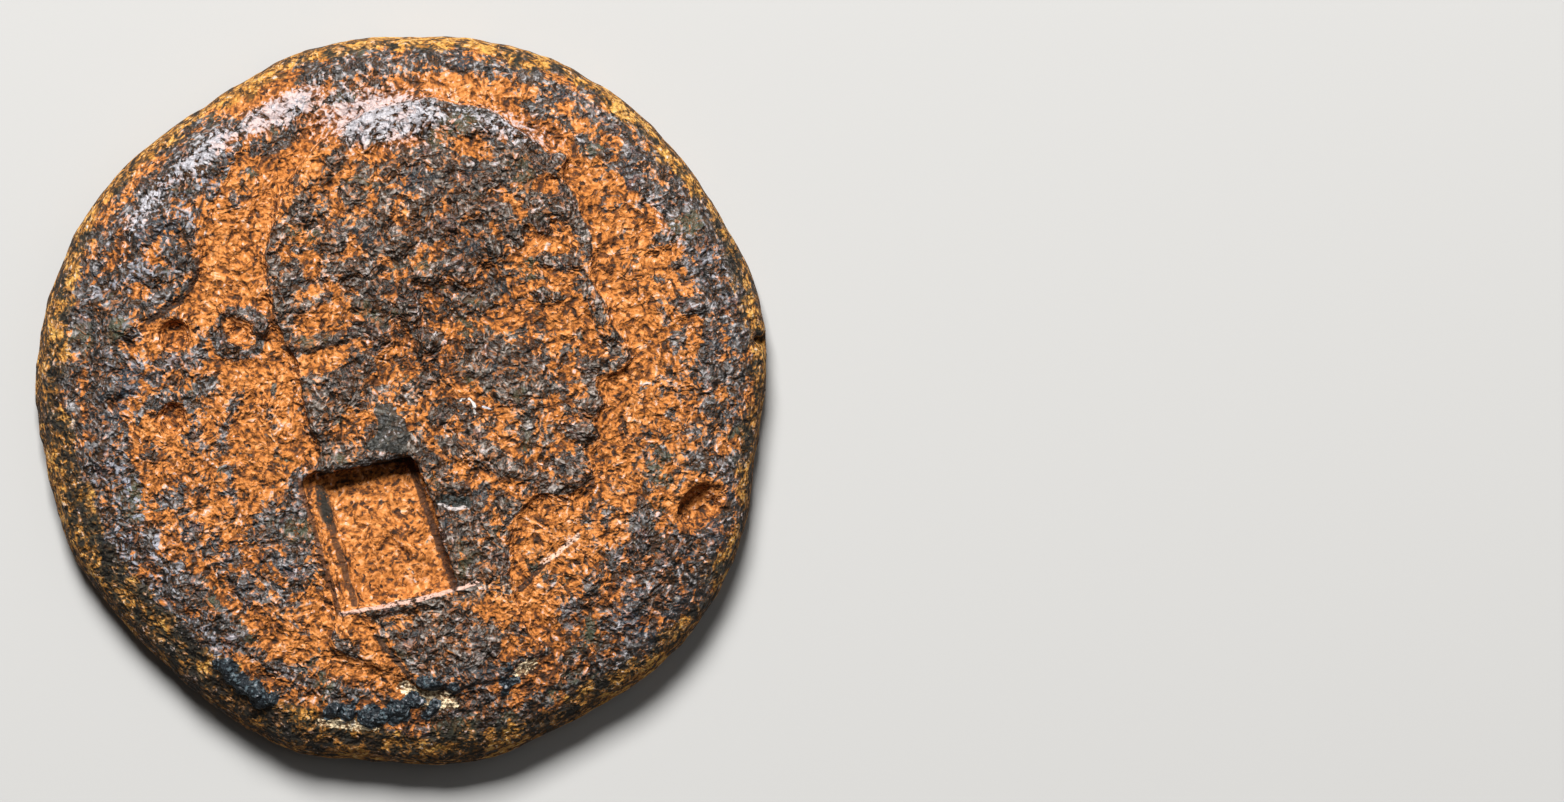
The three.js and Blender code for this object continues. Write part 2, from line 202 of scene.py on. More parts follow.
normals = meshNormals(coinMesh)
top = points[:, 2] > blankForm["widestAt"]
headSide = smoothStep(points[:, 2], 0.9, 1.6)
wreathSide = 1 - smoothStep(points[:, 2], 0.45, 0.8)
headFlat = points[:, :2].copy()
wreathFlat = points[:, :2] * np.array([-1, 1])  # as seen from below, with the top of the design up

# how far out each point is, as a share of the way to the coin's edge
angles = np.arctan2(points[:, 1], points[:, 0])
radii = np.linalg.norm(points[:, :2], axis=1)
wedges = 120
wedgeAt = (angles + math.pi) / (2 * math.pi) * wedges
wedge = wedgeAt.astype(int) % wedges
rimRadius = np.array([radii[wedge == w].max() for w in range(wedges)])
rimRadius = (np.roll(rimRadius, 1) + rimRadius + np.roll(rimRadius, -1)) / 3
allRound = np.concatenate([rimRadius[-1:], rimRadius, rimRadius[:1]])
rimAt = np.interp(wedgeAt - 0.5, np.arange(-1, wedges + 1), allRound)
share = np.clip(radii / rimAt, 0, 1)

# height over the blank's field on the head side, and over the dish's floor on the wreath side
dome = np.maximum(0, 1 - share ** blankForm["power"]) ** blankForm["fullness"]
crest = blankForm["widestAt"] + (blankForm["field"] - blankForm["widestAt"]) * dome
headRelief = np.where(top, points[:, 2] - crest, 0)
wreathRelief = np.clip((blankForm["dishFloor"] - points[:, 2]) / blankForm["dishFloor"], 0, 1) * wreathSide


surfaceWear = {
    "ripple": [(3.2, 0.06), (1.5, 0.06), (0.75, 0.04), (0.35, 0.022)],  # size and height of the unevenness
    "drift": [(1.4, 0.11, 25), (0.6, 0.07, 17)],  # size, reach and seed of what makes outlines ragged
}

# raised and sunk places: at, half sizes, turn, height
headPlaces = [
    {"at": (-7.6, 7.4), "size": (5.0, 1.8), "turn": 47, "height": 0.15},
    {"at": (-10.3, -0.6), "size": (4.6, 1.6), "turn": 93, "height": 0.12},
    {"at": (-7.0, -8.3), "size": (4.0, 1.3), "turn": -50, "height": 0.1},
    {"at": (10.6, 3.4), "size": (4.0, 1.3), "turn": 104, "height": 0.1},
    {"at": (0.6, 6.6), "size": (5.4, 4.4), "turn": 0, "height": 0.1},
    {"at": (-1.9, -0.2), "size": (2.0, 2.4), "turn": 10, "height": 0.08},
    {"at": (4.0, -0.6), "size": (3.2, 3.8), "turn": 0, "height": 0.08},
    {"at": (5.45, 3.85), "size": (0.85, 0.42), "turn": -4, "height": 0.1},
    {"at": (-9.4, 6.4), "size": (1.1, 0.7), "turn": 60, "height": 0.09},
    {"at": (-8.3, 4.9), "size": (0.9, 0.6), "turn": 20, "height": 0.07},
    {"at": (-10.4, 4.3), "size": (1.2, 0.7), "turn": 75, "height": 0.09},
    {"at": (-7.6, 9.0), "size": (2.2, 0.8), "turn": 42, "height": 0.12},
    {"at": (-10.9, 1.0), "size": (1.6, 0.8), "turn": 85, "height": 0.08},
    {"at": (-11.2, -2.4), "size": (1.5, 0.7), "turn": 95, "height": 0.07},
    {"at": (-4.9, 10.6), "size": (2.6, 0.7), "turn": 24, "height": 0.1},
    {"at": (10.5, 6.2), "size": (1.5, 0.5), "turn": 128, "height": 0.11},
    {"at": (11.4, 3.6), "size": (1.3, 0.6), "turn": 108, "height": 0.07},
    {"at": (9.0, 8.2), "size": (1.4, 0.5), "turn": 140, "height": 0.06},
    {"at": (-5.1, 4.0), "size": (0.4, 0.4), "turn": 0, "height": 0.07},
    {"at": (-4.6, 3.1), "size": (0.5, 0.4), "turn": -40, "height": 0.07},
    {"at": (-3.2, 2.25), "size": (1.15, 0.42), "turn": 4, "height": 0.09},
    {"at": (-0.4, -1.0), "size": (0.8, 0.9), "turn": 30, "height": 0.06},
    {"at": (2.6, -5.2), "size": (1.4, 2.0), "turn": 12, "height": 0.05},
    {"at": (1.9, -8.9), "size": (2.4, 1.7), "turn": 5, "height": 0.08},
    {"at": (2.05, -3.74), "size": (0.8, 0.32), "turn": -8, "height": -0.14},
    {"at": (-5.9, 2.5), "size": (0.5, 0.5), "turn": 0, "height": -0.12},
    {"at": (-8.5, 2.4), "size": (0.9, 0.6), "turn": 15, "height": -0.1},
    {"at": (11.1, -3.9), "size": (0.9, 0.8), "turn": 40, "height": -0.14},
    {"at": (11.6, -4.7), "size": (0.7, 0.4), "turn": 40, "height": 0.12},
]

# steps: the metal is higher on a line's left, or on its right where the height is below 0, and falls
# back to its own height at the reach
headSteps = [
    {
        "height": -0.22,
        "reach": 2.8,
        "line": [(-6.2, 8.6), (-7.1, 6.7), (-7.5, 4.6), (-8.1, 3.7), (-9.4, 2.9)],
    },
    {"height": 0.11, "reach": 1.8, "line": [(-3.0, 9.9), (-4.6, 7.9), (-5.3, 5.6), (-5.6, 3.6)]},
    {"height": 0.11, "reach": 1.3, "line": [(-1.5, -8.0), (-0.9, -8.6), (0.4, -10.3)]},
    {"height": 0.08, "reach": 0.8, "line": [(-4.4, 1.75), (-3.4, 1.75), (-2.4, 2.0)]},
]

# long marks: half width, height and line
headMarks = [
    {"width": 0.22, "height": -0.1, "line": [(4.4, 4.1), (5.3, 4.45), (6.35, 4.15)]},
    {"width": 0.2, "height": -0.07, "line": [(4.6, 3.6), (5.4, 3.35), (6.25, 3.6)]},
    {
        "width": 0.8,
        "height": -0.09,
        "line": [(-2.9, 10.0), (-4.0, 8.4), (-5.5, 6.5), (-6.2, 4.6), (-6.3, 3.3)],
    },
    {"width": 0.25, "height": -0.08, "line": [(-4.95, 1.2), (-4.75, -3.0)]},
    {"width": 0.16, "height": -0.07, "line": [(4.6, -6.9), (5.3, -6.1), (6.5, -5.1)]},
    {"width": 0.22, "height": -0.08, "line": [(-2.95, -3.2), (-2.5, -4.8)]},
    {"width": 0.5, "height": -0.06, "line": [(-1.6, -7.9), (-0.9, -8.9), (0.2, -10.4)]},
    {"width": 0.2, "height": -0.04, "line": [(-6.7, -8.0), (-4.3, -8.4)]},
    {"width": 0.24, "height": 0.14, "line": [(-0.9, -4.0), (-0.1, -4.9), (0.7, -5.8)]},
    {"width": 0.22, "height": 0.09, "line": [(-0.3, -3.5), (0.5, -3.9), (1.0, -4.9)]},
]

# a ring of metal left of the nape, and the dark skin on it
napeRing = {"at": (-5.9, 2.5), "radius": 0.85, "width": 0.42, "height": 0.11, "earth": -0.95, "tone": -0.14}

# outlines drift sideways, less and less towards the coin's own edge
hold = 1 - smoothStep(share, 0.86, 0.98)
for size, reach, seed in surfaceWear["drift"]:
    for axis in range(2):
        points[:, axis] += reach * hold * noiseAt(points, size, seed + axis)

# the head side is sunk and its own carving deepened, but for the outer shoulder
carved = points[:, 2] - relaxed(points[:, 2], edges, strikeForm["levelPasses"], strikeForm["levelShare"])
carved = np.clip(carved, -strikeForm["carvingLimit"], strikeForm["carvingLimit"])
lift = (strikeForm["carving"] * carved - strikeForm["sink"]) * (1 - smoothStep(share, 0.8, 0.95))

unevenly = 1 + 0.5 * noiseAt(points, 0.6, 31)
for place in headPlaces:
    lift += place["height"] * onPlace(headFlat, place, 0, 0.6) * unevenly
for step in headSteps:
    off = distanceToLine(headFlat, step["line"]) * np.sign(step["height"])
    lift += abs(step["height"]) * smoothStep(off, -0.08, 0.14) * (1 - smoothStep(off, 0.2, step["reach"]))
for mark in headMarks:
    lift += mark["height"] * onLine(headFlat, mark["line"], 0, mark["width"])
ringOff = abs(np.linalg.norm(headFlat - np.array(napeRing["at"]), axis=1) - napeRing["radius"])
onRing = 1 - smoothStep(ringOff, 0, napeRing["width"])
lift += napeRing["height"] * onRing
lift *= headSide
lift += layeredNoise(points, surfaceWear["ripple"], 41)

# crusts of small hard grains: at, half sizes, turn, how many, the largest grain's radius
crustClusters = [
    {"at": (-5.6, -10.5), "size": (1.5, 0.45), "turn": -38, "grains": 16, "largest": 0.36},
    {"at": (-1.7, -11.5), "size": (1.1, 0.35), "turn": -12, "grains": 12, "largest": 0.34},
    {"at": (0.5, -11.4), "size": (1.0, 0.4), "turn": 14, "grains": 14, "largest": 0.36},
    {"at": (1.5, -10.5), "size": (0.6, 0.16), "turn": -6, "grains": 8, "largest": 0.28},
    {"at": (4.1, -10.4), "size": (0.35, 0.6), "turn": -12, "grains": 8, "largest": 0.27},
]
grainHeight = 0.32  # as a share of a grain's radius
grainLength = 1.2  # as a share of its width

crust = np.zeros(len(points))
scatter = np.random.default_rng(19)
for cluster in crustClusters:
    turn = math.radians(cluster["turn"])
    for _ in range(cluster["grains"]):
        out, way = math.sqrt(scatter.random()), scatter.random() * 2 * math.pi
        along = cluster["size"][0] * out * math.cos(way)
        across = cluster["size"][1] * out * math.sin(way)
        middle = (
            cluster["at"][0] + along * math.cos(turn) - across * math.sin(turn),
            cluster["at"][1] + along * math.sin(turn) + across * math.cos(turn),
        )
        radius = cluster["largest"] * (0.5 + 0.5 * scatter.random())
        inside = insideOval(headFlat, middle, (radius * grainLength, radius), scatter.random() * 180)
        grain = smoothStep(inside, -0.1, 0.5) * headSide
        crust = np.maximum(crust, grain)
        lift += grainHeight * radius * grain
points += normals * lift[:, None]
print("wear and crust laid on")


# hollows hold earth: 1 in a hollow, -1 on a rise
levelled = relaxed(points[:, 2], edges, strikeForm["hollowPasses"], strikeForm["levelShare"])
facing = np.sign(normals[:, 2]) * smoothStep(abs(normals[:, 2]), 0.5, 0.9)
hollow = np.clip((levelled - points[:, 2]) * facing / 0.05, -1, 1)

# patches on the head side: more (+) or less (-) orange earth, and a paler (+) or darker (-) tone
headPatches = [
    {"at": (0.4, 7.0), "size": (5.6, 4.4), "turn": 0, "earth": -0.14, "tone": -0.01},
    # the darker tone under the hair is painted shade; the lesser earth there is darker skin
    {"at": (1.6, 4.2), "size": (2.6, 3.2), "turn": -25, "earth": -0.2, "tone": -0.12},
    {"at": (2.6, 8.2), "size": (3.4, 1.6), "turn": 8, "earth": -0.12, "tone": -0.03},
    {"at": (-0.4, 2.2), "size": (2.6, 2.4), "turn": 0, "earth": -0.12, "tone": -0.06},
    {"at": (-9.5, 5.6), "size": (3.6, 1.7), "turn": 62, "earth": -0.36, "tone": -0.05},
    {"at": (-8.2, 8.6), "size": (2.8, 1.1), "turn": 46, "earth": -0.3, "tone": 0.0},
    {"at": (-10.9, 0.9), "size": (3.6, 1.3), "turn": 88, "earth": -0.32, "tone": -0.05},
    {"at": (-10.6, -3.6), "size": (2.6, 1.2), "turn": 105, "earth": -0.25, "tone": -0.03},
    {"at": (-8.0, 0.9), "size": (2.2, 1.6), "turn": 0, "earth": -0.2, "tone": -0.03},
    {"at": (4.0, -0.9), "size": (3.7, 4.2), "turn": 0, "earth": -0.1, "tone": -0.05},
    {"at": (-2.3, -0.5), "size": (2.0, 2.1), "turn": 0, "earth": -0.24, "tone": -0.05},
    {"at": (-4.4, -5.4), "size": (1.2, 2.2), "turn": 15, "earth": -0.34, "tone": -0.06},
    {"at": (2.4, -5.2), "size": (1.3, 2.1), "turn": 12, "earth": -0.4, "tone": -0.05},
    {"at": (1.8, -9.0), "size": (2.6, 1.6), "turn": 5, "earth": -0.42, "tone": -0.03},
    {"at": (5.2, -4.7), "size": (1.9, 1.4), "turn": -10, "earth": 0.3, "tone": 0.03},
    {"at": (8.9, 2.8), "size": (1.6, 6.4), "turn": 0, "earth": 0.24, "tone": 0.02},
    {"at": (10.3, -1.0), "size": (2.0, 3.0), "turn": 0, "earth": -0.1, "tone": 0.0},
    {"at": (-6.4, -6.8), "size": (1.2, 2.2), "turn": 25, "earth": -0.24, "tone": -0.06},
    {"at": (-4.3, 9.75), "size": (1.6, 0.5), "turn": 20, "earth": -0.6, "tone": -0.1},
    {"at": (3.4, 8.6), "size": (2.3, 0.6), "turn": 18, "earth": -0.25, "tone": -0.08},
    {"at": (11.8, 4.8), "size": (2.9, 0.8), "turn": 108, "earth": -0.35, "tone": -0.06},
    {"at": (9.6, -5.6), "size": (1.6, 2.2), "turn": -20, "earth": -0.2, "tone": -0.04},
    {"at": (-3.6, 1.25), "size": (1.5, 0.45), "turn": 8, "earth": 0.6, "tone": 0.06},
    {"at": (-2.0, 7.25), "size": (0.5, 0.35), "turn": 30, "earth": 0.6, "tone": 0.03},
    {"at": (-0.5, 7.0), "size": (0.4, 0.3), "turn": 0, "earth": 0.55, "tone": 0.03},
    {"at": (-3.2, 8.8), "size": (0.6, 0.4), "turn": 50, "earth": 0.5, "tone": 0.05},
    {"at": (0.0, 4.0), "size": (0.5, 0.3), "turn": 20, "earth": 0.5, "tone": 0.0},
    {"at": (-2.6, 3.6), "size": (1.2, 0.4), "turn": -20, "earth": 0.3, "tone": 0.0},
    {"at": (4.2, 7.4), "size": (0.9, 0.4), "turn": 30, "earth": 0.4, "tone": 0.05},
    {"at": (2.6, 9.5), "size": (0.8, 0.5), "turn": -20, "earth": 0.4, "tone": 0.03},
    {"at": (5.7, 8.2), "size": (0.9, 0.45), "turn": 40, "earth": 0.45, "tone": 0.03},
    {"at": (-3.1, 5.1), "size": (0.7, 0.5), "turn": 30, "earth": 0.35, "tone": 0.0},
    {"at": (-1.1, 9.3), "size": (0.8, 0.4), "turn": 10, "earth": 0.4, "tone": 0.04},
    {"at": (1.4, 5.4), "size": (0.5, 0.3), "turn": 60, "earth": 0.4, "tone": 0.0},
    {"at": (-8.5, 2.3), "size": (1.0, 0.7), "turn": 10, "earth": 0.8, "tone": 0.06},
    {"at": (-8.5, 2.1), "size": (0.5, 0.35), "turn": 10, "earth": -0.6, "tone": -0.1},
    {"at": (-8.6, -0.8), "size": (0.9, 0.7), "turn": 0, "earth": 0.7, "tone": 0.06},
    {"at": (-8.7, -0.5), "size": (0.45, 0.3), "turn": 0, "earth": -0.6, "tone": -0.1},
    {"at": (11.0, -4.0), "size": (1.2, 1.2), "turn": 0, "earth": 0.8, "tone": 0.08},
    {"at": (11.6, -4.6), "size": (0.8, 0.45), "turn": 40, "earth": -0.9, "tone": -0.12},
    # the dent's dark middle is painted shade
    {"at": (2.05, -3.7), "size": (0.7, 0.26), "turn": -8, "earth": -0.8, "tone": -0.2},
    {"at": (2.2, 11.5), "size": (2.3, 0.6), "turn": -6, "earth": 0.4, "tone": 0.06},
    {"at": (-5.2, 11.4), "size": (1.7, 0.6), "turn": 28, "earth": 0.6, "tone": 0.06},
    {"at": (-7.2, -5.6), "size": (4.0, 3.0), "turn": -50, "earth": -0.04, "tone": -0.02},
    {"at": (-4.4, -8.9), "size": (2.6, 1.2), "turn": -12, "earth": 0.16, "tone": 0.04},
    {"at": (4.5, -8.2), "size": (1.3, 1.9), "turn": -30, "earth": 0.45, "tone": 0.05},
]

# bands with more or less earth, behind the head and round the border, two of them with painted shade on the
# lower shoulder: half width, earth, tone and line
headBands = [
    {
        "width": 1.1,
        "earth": 0.62,
        "tone": 0.05,
        "line": [(-2.8, 10.0), (-3.9, 8.4), (-5.6, 6.3), (-6.4, 4.4), (-6.3, 3.2)],
    },
    {"width": 0.8, "earth": 0.3, "tone": 0.03, "line": [(-7.0, 6.8), (-6.9, 4.6), (-7.6, 3.2)]},
    {"width": 0.9, "earth": 0.28, "tone": 0.03, "line": [(-6.0, 1.2), (-5.0, 0.2), (-4.9, -3.4)]},
    {"width": 0.75, "earth": 0.75, "tone": 0.06, "line": [(-2.2, -7.8), (-1.0, -9.0), (0.3, -10.6)]},
    {"width": 0.7, "earth": 0.15, "tone": 0.0, "line": [(3.0, 3.4), (6.4, 3.2)]},
    {
        "width": 1.5,
        "earth": -0.3,
        "tone": -0.04,
        "line": [(-11.3, 4.0), (-11.3, -1.5), (-9.9, -6.1), (-7.1, -8.9)],
    },
    # the next two bands' darker tone is painted shade on the lower shoulder, turned from the light; their
    # lesser earth is darker skin
    {
        "width": 1.2,
        "earth": -0.3,
        "tone": -0.08,
        "line": [(-7.1, -8.9), (-4.5, -10.5), (-1.0, -11.6), (2.5, -11.2)],
    },
    {
        "width": 1.9,
        "earth": -0.16,
        "tone": -0.14,
        "line": [(2.5, -11.2), (6.5, -9.3), (9.6, -6.4), (11.0, -5.4)],
    },
    {
        "width": 0.9,
        "earth": -0.2,
        "tone": -0.03,
        "line": [(8.6, 8.6), (10.6, 6.9), (11.8, 4.0), (12.0, 0.0)],
    },
    {
        "width": 0.5,
        "earth": -0.1,
        "tone": -0.06,
        "line": [(-8.9, 9.0), (-4.5, 12.0), (0.5, 12.9), (5.0, 12.0)],
    },
]

# where the shoulder is rubbed smooth, with a painted sheen: a pale colour where the light's highlight falls
polishedAndSheenPlaces = [
    {"at": (-0.7, 10.6), "size": (3.6, 1.5), "turn": 0, "share": 0.8},
    {"at": (-4.4, 10.8), "size": (2.4, 0.75), "turn": 26, "share": 0.85},
    {"at": (-7.2, 9.1), "size": (2.2, 0.65), "turn": 38, "share": 0.8},
    {"at": (-9.4, 7.1), "size": (2.0, 0.55), "turn": 55, "share": 0.7},
    {"at": (3.8, 10.3), "size": (3.0, 0.8), "turn": -18, "share": 0.5},
    {"at": (10.0, 6.5), "size": (1.4, 0.4), "turn": 125, "share": 0.4},
]

# where the border's skin has a pale blue bloom
bloomed = [
    {"at": (-9.9, -4.6), "size": (3.6, 1.5), "turn": 113, "share": 1.0},
    {"at": (-8.8, 6.4), "size": (4.6, 1.7), "turn": 50, "share": 0.8},
    {"at": (-7.3, -8.6), "size": (2.4, 1.0), "turn": -45, "share": 0.6},
    {"at": (-9.9, 1.6), "size": (2.2, 1.4), "turn": 90, "share": 0.5},
    {"at": (11.3, 5.2), "size": (2.4, 0.9), "turn": 110, "share": 0.5},
]

# pale scale beside the crusts
scaleSpots = [
    {"at": (1.2, -11.1), "size": (1.0, 0.36), "turn": -8, "share": 1.0},
    {"at": (0.3, -10.75), "size": (0.5, 0.2), "turn": -30, "share": 1.0},
    {"at": (-2.0, -12.0), "size": (1.2, 0.2), "turn": -8, "share": 1.0},
    {"at": (4.7, -9.9), "size": (0.5, 0.25), "turn": 40, "share": 1.0},
]

# how the head side's earth and tone vary
headColour = {
    "relief": [-0.1, 0.0, 0.1, 0.17, 0.28, 0.42],  # heights over the field, and the earth that lies on them
    "earthOnRelief": [0.74, 0.62, 0.58, 0.52, 0.42, 0.34],
    "tone": 0.5,
    "earthInHollows": 0.32,
    "earthNoise": [(3.0, 0.09), (1.3, 0.12), (0.6, 0.1)],
}

# the punched floor, as the frame has it, and the earth on it
punch = {
    "at": (-0.83, -4.98),
    "size": (2.1, 2.55),
    "turn": 11.5,
    "slant": 6.5,
    "earth": 1.1,
    "earthCover": 0.92,
    "noiseKept": 0.3,  # the share of the earth's noise that is left here
    "tone": 0.54,
    "toneNoise": [(1.3, 0.12), (0.5, 0.08)],
}


# how far inside the slanted punch each flat point is
def insidePunch(flat):
    c, s = math.cos(math.radians(punch["turn"])), math.sin(math.radians(punch["turn"]))
    off = flat - np.array(punch["at"])
    up = off[:, 1] * c - off[:, 0] * s
    across = off[:, 0] * c + off[:, 1] * s + up * math.tan(math.radians(punch["slant"]))
    return np.minimum(punch["size"][0] - abs(across), punch["size"][1] - abs(up))


earth = np.interp(headRelief, headColour["relief"], headColour["earthOnRelief"])
tone = np.full(len(points), headColour["tone"])
for patch in headPatches:
    inside = onPlace(headFlat, patch, -0.25, 0.5)
    earth += patch["earth"] * inside
    tone += patch["tone"] * inside
for band in headBands:
    inside = onLine(headFlat, band["line"], 0.35 * band["width"], 1.15 * band["width"])
    earth += band["earth"] * inside
    tone += band["tone"] * inside
earth += napeRing["earth"] * onRing
tone += napeRing["tone"] * onRing
earth += headColour["earthInHollows"] * hollow
inPunch = smoothStep(insidePunch(headFlat), -0.05, 0.15)
earth += layeredNoise(points, headColour["earthNoise"], 61) * (1 - (1 - punch["noiseKept"]) * inPunch)
earth += (punch["earth"] - earth) * inPunch * punch["earthCover"]
floorTone = punch["tone"] + layeredNoise(points, punch["toneNoise"], 65)
tone += (floorTone - tone) * inPunch

# a smooth pool of dark skin above the punch
poolOutline = [(-1.05, 0.1), (-0.3, -0.25), (0.3, -0.8), (0.3, -2.0), (-1.25, -1.75), (-0.75, -0.9)]
poolFlat = headFlat + 0.1 * np.stack([noiseAt(points, 0.4, 75), noiseAt(points, 0.4, 76)], axis=1)
crossings = np.zeros(len(points), int)
for (ax, ay), (bx, by) in zip(poolOutline, poolOutline[1:] + poolOutline[:1]):
    between = (poolFlat[:, 1] > ay) != (poolFlat[:, 1] > by)
    crossings += between & (poolFlat[:, 0] < ax + (poolFlat[:, 1] - ay) * (bx - ax) / (by - ay))
pool = relaxed((crossings % 2).astype(float), edges, 1, 0.5) * headSide

# the wreath side: dark where the relief is worn flush, orange in the field, darker at the top of its middle
wreathColour = {
    "relief": [0, 0.3, 0.7, 1],  # shares of the full height over the dish's floor
    "earthOnRelief": [0.9, 0.75, 0.3, 0.12],
    "earthNoise": [(2.2, 0.2), (0.9, 0.2), (0.4, 0.14)],
    "toneRelief": [0, 0.4, 1],
    "toneOnRelief": [0.53, 0.5, 0.42],
    "rimEarth": 0.5,
    "rimDarkest": {"towards": 45, "earth": -0.42},  # degrees
    "rimPolishAndSheen": {"at": 0.935, "share": 0.55},  # a line rubbed smooth with a painted sheen, where the rim is dark
}
wreathPatches = [
    {"at": (2.4, 4.7), "size": (3.6, 2.6), "turn": 0, "earth": -0.62, "tone": -0.05},
    {"at": (-7.5, -5.0), "size": (5.6, 3.2), "turn": -55, "earth": 0.2, "tone": 0.04},
    {"at": (4.5, -7.5), "size": (5.4, 3.2), "turn": 30, "earth": -0.34, "tone": -0.05},
    {"at": (4.4, -0.6), "size": (2.6, 2.4), "turn": 0, "earth": -0.24, "tone": -0.03},
    {"at": (-3.0, 1.2), "size": (2.4, 2.2), "turn": 0, "earth": -0.14, "tone": 0.0},
    {"at": (8.6, 6.4), "size": (4.4, 1.6), "turn": -52, "earth": -0.2, "tone": -0.03},
]
wreathEarth = np.interp(wreathRelief, wreathColour["relief"], wreathColour["earthOnRelief"])
wreathTone = np.interp(wreathRelief, wreathColour["toneRelief"], wreathColour["toneOnRelief"])
onRim = smoothStep(share, 0.83, 0.89)
rimShade = 0.5 + 0.5 * np.cos(angles - math.radians(wreathColour["rimDarkest"]["towards"]))
wreathEarth += onRim * (wreathColour["rimEarth"] + wreathColour["rimDarkest"]["earth"] * rimShade)
for patch in wreathPatches:
    inside = onPlace(wreathFlat, patch, -0.25, 0.5)
    wreathEarth += patch["earth"] * inside
    wreathTone += patch["tone"] * inside
wreathEarth += layeredNoise(points, wreathColour["earthNoise"], 81)
leastEarth = 0.16
earth = np.clip(np.where(top, earth, wreathEarth), leastEarth, 1)
tone = np.where(top, tone, wreathTone)

# the edge's own skin: the share of the way out where it starts, and how its tone changes round the coin,
# with painted shade towards the lower left and painted light towards the top
edgeForm = {
    "from": 0.935,
    "fade": 0.05,
    "raggedness": [(1.6, 0.035), (0.5, 0.02)],
    "tone": 0.03,
    "darkest": {"towards": 238, "reach": 0.08, "tone": -0.14},  # degrees; it reaches further in here, and its darker tone is painted shade
    "palest": {"height": 13, "tone": 0.1},  # towards the top of the design; its paler tone is painted light
}
shadedLowLeft = np.clip(np.cos(angles - math.radians(edgeForm["darkest"]["towards"])), 0, 1)
litTopwards = np.clip(points[:, 1] / edgeForm["palest"]["height"], 0, 1)
edgeFrom = edgeForm["from"] - edgeForm["darkest"]["reach"] * shadedLowLeft
raggedShare = share + layeredNoise(points, edgeForm["raggedness"], 71)
edgeSkin = smoothStep(raggedShare, edgeFrom, edgeFrom + edgeForm["fade"])
# painted shade on the head side's lower-left edge, and painted light on the edge towards the top
edgeToneAndPaintedShade = edgeForm["tone"] + edgeForm["darkest"]["tone"] * shadedLowLeft * headSide
tone += (edgeToneAndPaintedShade + edgeForm["palest"]["tone"] * litTopwards) * edgeSkin

# the head's skin is browner than the border's
warmth = smoothStep(headRelief, 0.02, 0.16) * headSide * (1 - smoothStep(share, 0.72, 0.86))


# the strongest share that any of the places gives each point of the head side
def strongest(places, least, fade):
    shares = np.full(len(points), least)
    for place in places:
        shares = np.maximum(shares, place["share"] * onPlace(headFlat, place, -0.2, fade))
    return shares


polishAndSheen = strongest(polishedAndSheenPlaces, 0.0, 0.8) * headSide
bloom = strongest(bloomed, 0.12, 0.5)
scale = strongest(scaleSpots, 0.0, 0.4) * headSide
# a painted sheen along the wreath side's rim, on its dark part, also rubbed smooth
rimSheenLine = 1 - smoothStep(abs(share - wreathColour["rimPolishAndSheen"]["at"]), 0.004, 0.014)
polishAndSheen += wreathColour["rimPolishAndSheen"]["share"] * rimSheenLine * smoothStep(rimShade, 0.6, 0.9) * wreathSide

# heights near the top are pressed together, so that none stands above the frame's
pressFrom = boxHigh[2] - strikeForm["softTop"]
over = np.maximum(points[:, 2] - pressFrom, 0) / strikeForm["softTop"]
points[:, 2] = np.minimum(points[:, 2], pressFrom) + strikeForm["softTop"] * (1 - np.exp(-over))
points = np.clip(points, boxLow, boxHigh)
coinMesh.vertices.foreach_set("co", (points * milli).ravel())
coinMesh.update()

# what the material follows
attributes = {
    "earth": earth,
    # the tone also carries painted shade and light: on the edge, the lower shoulder, under the hair and in
    # the dent
    "tone": tone,
    "crust": crust,
    "edgeSkin": edgeSkin,
    "polishAndSheen": polishAndSheen,
    "scale": scale,
    "calm": inPunch * headSide,
    "smooth": np.maximum(inPunch * headSide, wreathSide),
    "pool": pool,
    "warmth": warmth,
    "bloom": bloom,
}
for name, values in attributes.items():
    made = coinMesh.attributes.new(name, "FLOAT", "POINT")
    made.data.foreach_set("value", np.asarray(values, np.float32))
coinMesh.shade_smooth()
coinMesh.materials.clear()

coin = bpy.data.objects.new("struck_coin", coinMesh)
bpy.context.collection.objects.link(coin)


